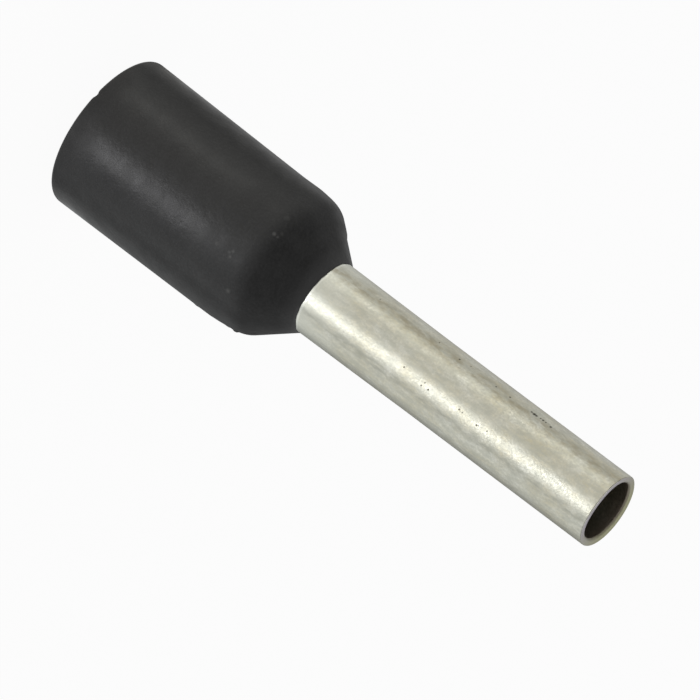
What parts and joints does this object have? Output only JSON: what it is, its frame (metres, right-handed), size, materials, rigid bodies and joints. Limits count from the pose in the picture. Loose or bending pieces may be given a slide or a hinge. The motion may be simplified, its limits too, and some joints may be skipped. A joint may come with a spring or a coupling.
{
  "type": "wire ferrule",
  "caption": "Insulated wire ferrule: a slim tinned tube with a round open tip, held in a wider black plastic collar with a tapered nose and an open rear end.",
  "frame": {"origin": "centre of the collar's rear rim, on the surface that the ferrule stands on", "axes": "+Z along the common axis, from the rear rim to the tip of the sleeve; the part is round, so X and Y are any two directions square to it"},
  "size_m": [0.0036, 0.0036, 0.0146],
  "materials": {
    "tinned_copper": "electroplated tin, satin, over drawn copper",
    "black_polypropylene": "moulded, fine matt grain"
  },
  "bodies": {
    "root": {"tinned_sleeve": "tinned_copper", "plastic_collar": "black_polypropylene"}
  },
  "joints": []
}
